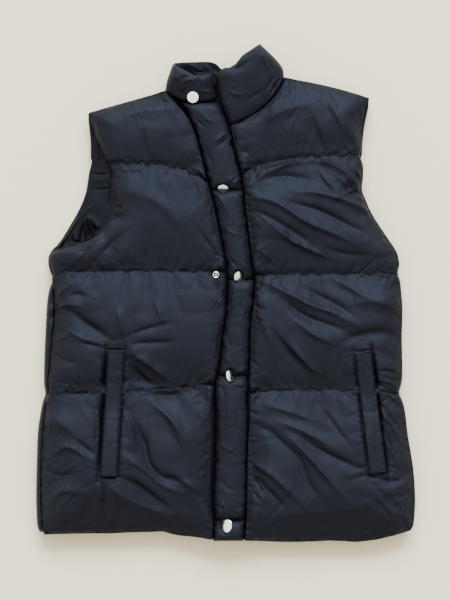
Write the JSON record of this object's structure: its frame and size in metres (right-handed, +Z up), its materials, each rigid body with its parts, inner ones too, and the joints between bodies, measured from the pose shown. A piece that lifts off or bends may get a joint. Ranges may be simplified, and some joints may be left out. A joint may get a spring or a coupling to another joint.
{
  "type": "puffer vest",
  "caption": "Sleeveless padded vest laid flat, quilted in broad tiers, with stand collar, padded storm flap, snaps and welt pockets.",
  "frame": {"origin": "on the surface under the vest, at the middle of its outline", "axes": "+Z up off the surface, +Y towards the collar, +X towards the wearer's left front"},
  "size_m": [0.5689, 0.742, 0.0588],
  "materials": {
    "shell": "dark navy satin nylon, padded",
    "lining": "dark navy plain nylon",
    "snap": "polished nickel plate"
  },
  "bodies": {
    "root": {"back_panel": "shell", "front_right": "shell", "front_left": "shell", "placket": "shell", "collar_back": "lining", "collar_right": "shell", "collar_left": "shell", "welt_right": "shell", "welt_left": "shell", "snap_cap_1": "snap", "snap_cap_2": "snap", "snap_cap_3": "snap", "snap_cap_4": "snap", "snap_cap_5": "snap", "snap_stud_3": "snap"}
  },
  "joints": []
}
